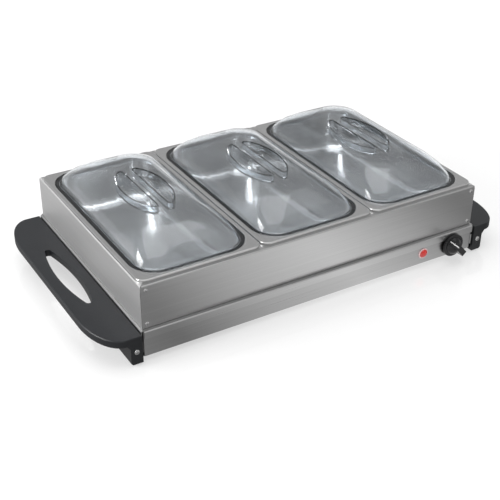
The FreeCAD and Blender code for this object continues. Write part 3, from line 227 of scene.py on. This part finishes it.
STEEL_TONE = 0.56
STEEL_ALONG = brushed_steel("brushed_steel_along", 0, STEEL_TONE, 0.30, 1.0)
# The panels across the tray are the same steel with its tone raised by 0.08: painted light, standing in for the
# brighter light that falls on the end panels.
STEEL_ACROSS_PAINTED_LIGHTER = brushed_steel("brushed_steel_across", 1, STEEL_TONE + 0.08, 0.46, 0.75)
STEEL_HOUSING = brushed_steel("brushed_steel_housing", 0, STEEL_TONE - 0.06, 0.30, 1.0)
dress(["frame_front_panel", "frame_back_panel", "base_top_plate"], STEEL_ALONG)
dress(["base_housing"], STEEL_HOUSING)
dress(["frame_left_panel", "frame_right_panel", "frame_divider_left", "frame_divider_right"], STEEL_ACROSS_PAINTED_LIGHTER)

# %% [markdown]
# Pressed pans
#
# The pans are deep-drawn and left bright, with a faint satin from the die. Their rims catch the
# light as a clean line, so they are smoother than the body and have only a soft mottle.

# %% Bright pressed steel
PAN_NODES = ["pan_left", "pan_middle", "pan_right"]
PRESSED = Finish("pressed_steel", Metallic=1.0)
PRESSED_GRAIN = PRESSED.noise(900.0, (1, 0.02, 1), 2.0)
PRESSED_MOTTLE = PRESSED.noise(60.0, (1, 1, 1), 3.0)
PRESSED.set("Base Color", PRESSED.blend(PRESSED_GRAIN, grey(0.62), grey(0.76)))
PRESSED.set("Roughness", PRESSED_GRAIN * 0.10 + (PRESSED_MOTTLE * 0.08 + 0.12))
PRESSED.set("Normal", PRESSED.bump(PRESSED_MOTTLE, 0.0002, 0.15))
dress(PAN_NODES, PRESSED)

# %% [markdown]
# Clear lids
#
# The lids are moulded in a clear, faintly blue plastic about two millimetres thick. Real
# refraction in a closed wall draws the bright and dark double lines along the flange and the grip,
# so the shader is full transmission with the plastic's own index. Shadow rays pass straight
# through, because a lamp's light cannot be aimed through a refracting wall.

# %% Clear moulded plastic
LID_NODES = ["lid_left", "lid_middle", "lid_right"]
CLEAR = Finish("clear_plastic", IOR=1.49, Transmission_Weight=1.0)
CLEAR_SMEAR = CLEAR.noise(35.0, (1, 1, 1), 3.0)
CLEAR.set("Base Color", (0.93, 0.96, 0.985, 1.0))
CLEAR.set("Roughness", CLEAR_SMEAR * 0.06 + 0.03)
CLEAR.set("Normal", CLEAR.bump(CLEAR_SMEAR, 0.0003, 0.06))
SHADOW_RAY = CLEAR.node("ShaderNodeLightPath", output="Is Shadow Ray")
LET_THROUGH = CLEAR.node("ShaderNodeBsdfTransparent", {}, {"Color": (0.93, 0.95, 0.97, 1.0)})
CLEAR_MIX = CLEAR.node("ShaderNodeMixShader", {}, {0: SHADOW_RAY, 1: Signal(CLEAR, CLEAR.shader.outputs[0]),
                                                   2: LET_THROUGH})
CLEAR.feed(CLEAR.end.inputs["Surface"], CLEAR_MIX)
dress(LID_NODES, CLEAR)

# %% [markdown]
# Smooth lids
#
# A moulded dome has no flat facets, but a solid reaches Blender as loose triangles. A lid could be
# rebuilt by hand, yet a merged copy of its own mesh keeps its exact shape. The copy is shaded
# smooth, and only where two faces meet at a real edge, as around the grip, does it stay sharp.

# %% Smooth-faced lids
SMOOTH_BELOW = math.radians(32)
MERGE_DISTANCE = 2e-6


def smooth_copy(node_name, finish):
    """A merged copy of a solid, shaded smooth except at its real edges."""
    mesh = NODES[node_name].data.copy()
    shape = bmesh.new()
    shape.from_mesh(mesh)
    bmesh.ops.remove_doubles(shape, verts=shape.verts, dist=MERGE_DISTANCE)
    for face in shape.faces:
        face.smooth = True
    for edge in shape.edges:
        edge.smooth = len(edge.link_faces) == 2 and edge.calc_face_angle(0.0) < SMOOTH_BELOW
    shape.to_mesh(mesh)
    shape.free()
    mesh.materials.clear()
    mesh.materials.append(finish.material)
    copy = bpy.data.objects.new(node_name + "_moulding", mesh)
    bpy.context.scene.collection.objects.link(copy)
    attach(copy, node_name)
    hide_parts(node_name)
    print(copy.name, len(mesh.polygons), "faces")


for lid_name in LID_NODES:
    smooth_copy(lid_name, CLEAR)

# %% [markdown]
# Black mouldings
#
# The handles and legs are one satin black moulding at each end. A spark-eroded mould leaves a fine
# even pebble, so the bump is a small-scale noise, and the roughness wanders a little where hands
# polish it. The knob is the same plastic, smoother.

# %% Satin and semi-gloss black plastic
def moulded(name, colour, roughness, pebble):
    """A moulded plastic with an eroded-mould texture."""
    plastic = Finish(name)
    pebbles = plastic.noise(2600.0, (1, 1, 1), 2.0)
    wear = plastic.noise(28.0, (1, 1, 1), 4.0)
    lighter = tuple(c * 1.5 + 0.002 for c in colour)
    plastic.set("Base Color", plastic.blend(wear, (*colour, 1.0), (*lighter, 1.0)))
    plastic.set("Roughness", wear * 0.12 + (pebbles * 0.06 + roughness - 0.09))
    plastic.set("Normal", plastic.bump(pebbles, 0.00012, pebble))
    return plastic


HANDLE_BLACK = moulded("handle_black", (0.008, 0.009, 0.011), 0.40, 0.25)
KNOB_BLACK = moulded("knob_black", (0.005, 0.005, 0.006), 0.20, 0.04)
POINTER_WHITE = moulded("pointer_white", (0.62, 0.62, 0.61), 0.5, 0.1)
SWITCH_GREY = moulded("switch_grey", (0.08, 0.08, 0.09), 0.5, 0.2)
NATURAL = moulded("natural_plastic", (0.5, 0.5, 0.47), 0.5, 0.2)
RUBBER = moulded("rubber_black", (0.02, 0.02, 0.02), 0.75, 0.6)
SLEEVE = moulded("wire_sleeve", (0.45, 0.44, 0.4), 0.6, 0.2)
RING_PALE = moulded("lamp_ring", (0.72, 0.52, 0.52), 0.25, 0.05)
dress(["handle_left", "handle_right"], HANDLE_BLACK)
dress(["control_knob"], KNOB_BLACK)
dress(["knob_pointer"], POINTER_WHITE)
dress(["thermostat_body"], SWITCH_GREY)
dress(["pilot_lamp_body", "terminal_block"], NATURAL)
dress(["foot_pads", "cord_gland"], RUBBER)
dress(["internal_wires"], SLEEVE)
dress(["pilot_bezel"], RING_PALE)

# %% [markdown]
# Pilot light
#
# The lens is a red dome over a small lamp. It glows a little from inside even with the lamp off,
# because the red plastic gathers light; the shader is a coated red with a fine facet noise.

# %% Red lens
LENS = Finish("red_lens", Roughness=0.08, Coat_Weight=1.0)
LENS_FACETS = LENS.noise(420.0, (1, 1, 1), 1.0)
LENS.set("Base Color", LENS.blend(LENS_FACETS, (0.55, 0.006, 0.004, 1.0), (0.85, 0.03, 0.02, 1.0)))
LENS.set("Normal", LENS.bump(LENS_FACETS, 0.0003, 0.2))
dress(["pilot_lens"], LENS)

# %% [markdown]
# Hidden metal
#
# Inside the base are galvanised brackets and cover, a bright reflector and a dulled heating rod.
# They show only through the vents and from below, but each has its own finish.

# %% Galvanised, bright and dulled metal
def plain_metal(name, tone, roughness, scale):
    """Unbrushed sheet or rod with a spangle or mottle."""
    metal = Finish(name, Metallic=1.0)
    spangle = metal.node("ShaderNodeTexVoronoi", {}, {"Vector": metal.place(), "Scale": scale})
    mottle = metal.noise(scale * 0.6, (1, 1, 1), 3.0)
    metal.set("Base Color", metal.blend(mottle, grey(tone - 0.08), grey(tone + 0.06)))
    metal.set("Roughness", spangle * 0.12 + (mottle * 0.1 + roughness - 0.1))
    metal.set("Normal", metal.bump(mottle, 0.0001, 0.2))
    return metal


GALVANISED = plain_metal("galvanised", 0.55, 0.42, 90.0)
BRIGHT = plain_metal("bright_sheet", 0.8, 0.22, 200.0)
DULLED = plain_metal("dulled_sheath", 0.3, 0.5, 400.0)
ZINC = plain_metal("zinc_plate", 0.62, 0.24, 900.0)
dress(["base_bottom_cover", "element_clips", "handle_brackets"], GALVANISED)
dress(["heat_reflector", "thermal_cutout"], BRIGHT)
dress(["heating_element"], DULLED)
dress(["thermostat_nut", "thermostat_shaft", "frame_nuts", "handle_nuts"], ZINC)
dress(["frame_screws", "handle_screws", "cover_screws"], ZINC)

# %% [markdown]
# Screws
#
# Every visible screw is a pan-head with a crossed recess. One shape tree makes the head, its recess
# and its shank from named sizes, and copies it on to a handful of points that carry the way each
# screw faces. Those points are measured on the plain screws of the solids, so each new screw sits
# exactly where the old one was.

# %% Where the screws sit
RIM_SHARE = 0.98


def screw_places(node_name):
    """The head seat, facing, head radius and height, and shank length of each screw."""
    shape = bmesh.new()
    shape.from_mesh(NODES[node_name].data)
    bmesh.ops.remove_doubles(shape, verts=shape.verts, dist=MERGE_DISTANCE)
    waiting = set(shape.verts)
    places = []
    while waiting:
        island, frontier = set(), [waiting.pop()]
        while frontier:
            vertex = frontier.pop()
            island.add(vertex)
            near = {edge.other_vert(vertex) for edge in vertex.link_edges} & waiting
            waiting -= near
            frontier.extend(near)
        places.append(measured_screw([v.co.copy() for v in island]))
    shape.free()
    print(node_name, len(places), "screws")
    return places


def measured_screw(points):
    """The sizes of one screw from its points."""
    low = Vector(min(p[k] for p in points) for k in range(3))
    high = Vector(max(p[k] for p in points) for k in range(3))
    size = high - low
    axis = min(range(3), key=lambda k: abs(size[(k + 1) % 3] - size[(k + 2) % 3]))
    middle = (low + high) / 2

    def reach(point):
        away = point - middle
        away[axis] = 0.0
        return away.length

    radius = max(reach(p) for p in points)
    rim = [p[axis] for p in points if reach(p) > radius * RIM_SHARE]
    seat_side = 1.0 if sum(rim) / len(rim) > middle[axis] else -1.0
    seat = min(rim) if seat_side > 0 else max(rim)
    top = high[axis] if seat_side > 0 else low[axis]
    tail = low[axis] if seat_side > 0 else high[axis]
    place = middle.copy()
    place[axis] = seat
    facing = Vector([seat_side * (k == axis) for k in range(3)])
    return {"place": place, "facing": facing, "radius": radius,
            "height": abs(top - seat), "length": abs(seat - tail)}


# %% The shape tree of a screw
# The head is cut as a ball of radius 1 and only then brought to size, so these are shares of it.
HEAD_SEGMENTS, HEAD_RINGS = 28, 16
SHANK_SIDES = 16
SHANK_SHARE = 0.5
RECESS_SHARE = 0.62
RECESS_WIDTH_SHARE = 0.22
RECESS_MIDDLE = 1.03
SEAT_SHARE = 0.003


def screw_tree():
    """Crossed pan-head screws on points, with their sizes as inputs."""
    tree = bpy.data.node_groups.new("screws_on_points", "GeometryNodeTree")
    sockets = {}
    tree.interface.new_socket("Points", in_out="INPUT", socket_type="NodeSocketGeometry")
    for name in ("Head Radius", "Head Height", "Shank Length"):
        sockets[name] = tree.interface.new_socket(name, in_out="INPUT", socket_type="NodeSocketFloat").identifier
    finish = tree.interface.new_socket("Finish", in_out="INPUT", socket_type="NodeSocketMaterial")
    sockets["Finish"] = finish.identifier
    tree.interface.new_socket("Screws", in_out="OUTPUT", socket_type="NodeSocketGeometry")
    wires = Wiring(tree)
    given = tree.nodes.new("NodeGroupInput")
    value = {name: Signal(wires, given.outputs[name])
             for name in ("Points", "Head Radius", "Head Height", "Shank Length", "Finish")}
    radius, height, length = value["Head Radius"], value["Head Height"], value["Shank Length"]

    def vector(x, y, z):
        return wires.node("ShaderNodeCombineXYZ", inputs={0: x, 1: y, 2: z})

    def block(size, middle):
        cube = wires.node("GeometryNodeMeshCube", inputs={"Size": size})
        return wires.node("GeometryNodeTransform", inputs={"Geometry": cube, "Translation": middle})

    ball = wires.node("GeometryNodeMeshUVSphere", inputs={"Segments": HEAD_SEGMENTS, "Rings": HEAD_RINGS, "Radius": 1.0})
    under = block((3.0, 3.0, 2.0), (0.0, 0.0, SEAT_SHARE - 1.0))
    arm = block((2 * RECESS_SHARE, RECESS_WIDTH_SHARE, 1.0), (0.0, 0.0, RECESS_MIDDLE))
    other = block((RECESS_WIDTH_SHARE, 2 * RECESS_SHARE, 1.0), (0.0, 0.0, RECESS_MIDDLE))
    crossed = wires.node("GeometryNodeMeshBoolean", {"operation": "DIFFERENCE", "solver": "MANIFOLD"},
                         {"Mesh 1": ball})
    for piece in (under, arm, other):
        tree.links.new(piece.socket, crossed.socket.node.inputs["Mesh 2"])
    head = wires.node("GeometryNodeTransform", inputs={"Geometry": crossed, "Scale": vector(radius, radius, height)})
    rod = wires.node("GeometryNodeMeshCylinder",
                     inputs={"Vertices": SHANK_SIDES, "Radius": radius * SHANK_SHARE, "Depth": length})
    shank = wires.node("GeometryNodeTransform",
                       inputs={"Geometry": rod, "Translation": vector(0.0, 0.0, length * -0.5)})
    both = tree.nodes.new("GeometryNodeJoinGeometry")
    tree.links.new(head.socket, both.inputs[0])
    tree.links.new(shank.socket, both.inputs[0])
    facing = wires.node("GeometryNodeInputNamedAttribute", {"data_type": "FLOAT_VECTOR"}, {"Name": "facing"})
    turn = wires.node("FunctionNodeAlignRotationToVector", {"axis": "Z"}, {"Vector": facing})
    copies = wires.node("GeometryNodeInstanceOnPoints", inputs={
        "Points": value["Points"], "Instance": Signal(wires, both.outputs[0]), "Rotation": turn})
    real = wires.node("GeometryNodeRealizeInstances", inputs={"Geometry": copies})
    shown = wires.node("GeometryNodeSetMaterial", inputs={"Geometry": real, "Material": value["Finish"]})
    end = tree.nodes.new("NodeGroupOutput")
    tree.links.new(shown.socket, end.inputs[0])
    return tree, sockets


# %% New screws in place of the plain ones
SCREW_TREE, SCREW_SOCKETS = screw_tree()


def screws(node_name, body):
    """Crossed screws on one body where a node's plain screws are."""
    places = screw_places(node_name)
    points = bpy.data.meshes.new(node_name + "_points")
    points.from_pydata([tuple(p["place"]) for p in places], [], [])
    facing = points.attributes.new("facing", "FLOAT_VECTOR", "POINT")
    for datum, place in zip(facing.data, places):
        datum.vector = place["facing"]
    maker = bpy.data.objects.new(node_name + "_points", points)
    scene_objects = bpy.context.scene.collection.objects
    scene_objects.link(maker)
    modifier = maker.modifiers.new("screws", "NODES")
    modifier.node_group = SCREW_TREE
    sizes = {"Head Radius": places[0]["radius"], "Head Height": places[0]["height"],
             "Shank Length": places[0]["length"]}
    for name, size in sizes.items():
        modifier[SCREW_SOCKETS[name]] = size
    modifier[SCREW_SOCKETS["Finish"]] = ZINC.material
    made = maker.evaluated_get(bpy.context.evaluated_depsgraph_get())
    mesh = bpy.data.meshes.new_from_object(made)
    bpy.data.objects.remove(maker)
    piece = bpy.data.objects.new(node_name + "_crossed", mesh)
    scene_objects.link(piece)
    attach(piece, body)
    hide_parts(node_name)
    print(piece.name, len(mesh.polygons), "faces")


screws("frame_screws", "frame")
screws("handle_screws", "base")
screws("cover_screws", "base")

# %% [markdown]
# Floor
#
# The tray stands on a white, faintly glossy table. To the camera the table is mostly white, with a
# share of its real shading kept for the tray's shadow and a weak mirror image on top. Further off
# it fades to plain white. To polished steel it is a painted band of light, darker at both ends, and
# this painted shade, mirrored in the front, gives the front its slow change from dark to light.

# %% A white table with a soft shadow
FLOOR_SIZE = 14.0
FLOOR_TONE = 0.82
BAND_HALF = 0.6
WHITE_SHARE = 0.45
WHITE_LEVEL = 1.35
MIRROR_SHARE = 0.13
NEAR_TABLE = 0.55
FAR_TABLE = 1.3
PAINTED_FRONT_SHADE = [(0.20, 0.42), (0.33, 0.28), (0.45, 0.70), (0.57, 1.0), (0.68, 0.66), (0.80, 0.24), (1.0, 0.5)]


def floor_mesh():
    """A flat square at the height of the feet."""
    half = FLOOR_SIZE / 2
    mesh = bpy.data.meshes.new("floor")
    mesh.from_pydata([(-half, -half, 0), (half, -half, 0), (half, half, 0), (-half, half, 0)], [], [(0, 1, 2, 3)])
    return mesh


floor = bpy.data.objects.new("floor", floor_mesh())
bpy.context.scene.collection.objects.link(floor)
TABLE = Finish("white_table", Roughness=0.6)
TABLE_CLOUD = TABLE.noise(0.8, (1, 1, 1), 2.0)
TABLE.set("Base Color", TABLE.blend(TABLE_CLOUD, grey(FLOOR_TONE), grey(FLOOR_TONE + 0.01)))
SHADED = Signal(TABLE, TABLE.shader.outputs[0])
WHITE = TABLE.node("ShaderNodeEmission", inputs={"Color": grey(1.0), "Strength": WHITE_LEVEL})
MIRROR = TABLE.node("ShaderNodeBsdfGlossy", inputs={"Color": grey(0.95), "Roughness": 0.06})
SEPARATE = TABLE.node("ShaderNodeSeparateXYZ", inputs={0: TABLE.place()})
# Painted shade: a grey ramp along the table's x, seen only in reflections, makes the steel front dark at both ends
# and light in the middle.
PAINTED_SHADE_RAMP = TABLE.ramp(SEPARATE * (0.5 / BAND_HALF) + 0.5, PAINTED_FRONT_SHADE)
PAINTED_SHADE_GLOW = TABLE.node("ShaderNodeEmission", inputs={"Color": PAINTED_SHADE_RAMP, "Strength": 1.0})


AWAY = TABLE.node("ShaderNodeVectorMath", {"operation": "LENGTH"}, {0: TABLE.place()}, "Value")
ALL_WHITE = TABLE.ramp((AWAY - NEAR_TABLE) * (1.0 / (FAR_TABLE - NEAR_TABLE)), [(0.0, 0.0), (1.0, 1.0)])


def mixed(finish, factor, first, second):
    """Two shaders mixed by a number or a signal."""
    return finish.node("ShaderNodeMixShader", inputs={0: factor, 1: first, 2: second})


SEEN = TABLE.node("ShaderNodeLightPath", output="Is Camera Ray")
THROUGH = TABLE.node("ShaderNodeLightPath", output="Is Transmission Ray")
POLISHED = TABLE.node("ShaderNodeLightPath", output="Is Glossy Ray")
NEAR_PICTURE = mixed(TABLE, MIRROR_SHARE, mixed(TABLE, WHITE_SHARE, SHADED, WHITE), MIRROR)
PICTURE = mixed(TABLE, ALL_WHITE, NEAR_PICTURE, WHITE)
REFLECTED = mixed(TABLE, POLISHED, SHADED, PAINTED_SHADE_GLOW)
TABLE.feed(TABLE.end.inputs["Surface"], mixed(TABLE, SEEN.maths("MAXIMUM", SEEN, THROUGH), REFLECTED, PICTURE))
floor.data.materials.append(TABLE.material)
print("floor", FLOOR_SIZE, "m")

# %% [markdown]
# Studio light
#
# A white room lights the tray evenly. What polished steel and clear plastic mirror is another
# matter: they need something dark to look like metal and glass, so to reflections the room is
# white at the horizon, grey at mid height where a studio's walls end, and white again overhead.

# %% White room and soft lamps
scene = bpy.context.scene
scene.view_settings.view_transform = "Standard"
world = bpy.data.worlds.new("studio")
world.use_nodes = True
scene.world = world
ROOM = Wiring(world.node_tree)
ROOM_BANDS = [(0.0, 0.9), (0.14, 0.85), (0.30, 0.48), (0.55, 0.40), (0.74, 0.48), (0.88, 1.0), (1.0, 1.2)]
ROOM_LIGHT = 0.62
ROOM_WAY = ROOM.node("ShaderNodeTexCoord", output="Generated")
ROOM_HEIGHT = ROOM.node("ShaderNodeSeparateXYZ", inputs={0: ROOM_WAY}, output="Z")
ROOM_SEEN = ROOM.node("ShaderNodeValToRGB", {"stops": ROOM_BANDS}, {0: ROOM_HEIGHT})
ROOM_CAMERA = ROOM.node("ShaderNodeLightPath", output="Is Camera Ray")
ROOM_GLOSSY = ROOM.node("ShaderNodeLightPath", output="Is Glossy Ray")
ROOM_EVEN = ROOM.node("ShaderNodeMix", {"data_type": "RGBA"},
                      {"Factor": ROOM_GLOSSY, 6: grey(ROOM_LIGHT), 7: ROOM_SEEN}, 2)
ROOM_SHOWN = ROOM.node("ShaderNodeMix", {"data_type": "RGBA"}, {"Factor": ROOM_CAMERA, 6: ROOM_EVEN, 7: grey(1.0)}, 2)
ROOM.feed(world.node_tree.nodes["Background"].inputs["Color"], ROOM_SHOWN)


def soft_lamp(name, place, target, size, power, mirrored):
    """A rectangular lamp that faces a point, seen in steel and plastic or not."""
    data = bpy.data.lights.new(name, "AREA")
    data.shape = "RECTANGLE"
    data.size, data.size_y = size
    data.energy = power
    lamp = bpy.data.objects.new(name, data)
    lamp.location = place
    lamp.rotation_mode = "QUATERNION"
    lamp.rotation_quaternion = (Vector(target) - Vector(place)).to_track_quat("-Z", "Y")
    lamp.visible_glossy = mirrored
    scene.collection.objects.link(lamp)
    print(name, power, "W")


soft_lamp("top_lamp", (-0.2, 0.1, 2.2), (0, 0, 0.05), (2.2, 2.2), 30.0, False)
soft_lamp("left_lamp", (-2.0, 0.5, 1.1), (0, 0, 0.05), (1.2, 0.8), 30.0, True)

# %% [markdown]
# Camera
#
# The picture was taken from the front left, about 31 degrees above the table, with a lens long
# enough to keep the far side nearly as large as the near one. The place and angles were fitted to
# the tray's corners, and are given from the middle of the base plate's top.

# %% The camera at the photo's place
CAMERA_PLACE = Vector((-0.687, -1.106, 0.735))
CAMERA_YAW = math.radians(31.48)
CAMERA_PITCH = math.radians(31.18)
CAMERA_ROLL = math.radians(0.82)
FOCAL_PIXELS = 1010.0
IMAGE_PIXELS = 500.0
SENSOR_WIDTH = 36.0


def camera_axes():
    """The camera's right, up and backward directions."""
    flat = math.cos(CAMERA_PITCH)
    forward = Vector((math.sin(CAMERA_YAW) * flat, math.cos(CAMERA_YAW) * flat, -math.sin(CAMERA_PITCH)))
    right = Vector((math.cos(CAMERA_YAW), -math.sin(CAMERA_YAW), 0))
    up = right.cross(forward)
    turn, lean = math.cos(CAMERA_ROLL), math.sin(CAMERA_ROLL)
    return right * turn + up * lean, up * turn - right * lean, -forward


camera_data = bpy.data.cameras.new("camera")
camera_data.sensor_width = SENSOR_WIDTH
camera_data.lens = FOCAL_PIXELS / IMAGE_PIXELS * SENSOR_WIDTH
camera = bpy.data.objects.new("camera", camera_data)
scene.collection.objects.link(camera)
camera.matrix_world = Matrix.Translation(CAMERA_PLACE + Vector((0, MIDDLE_Y, BASE_TOP))) @ Matrix(
    camera_axes()).transposed().to_4x4()
scene.camera = camera
print("lens", round(camera_data.lens, 1), "mm")
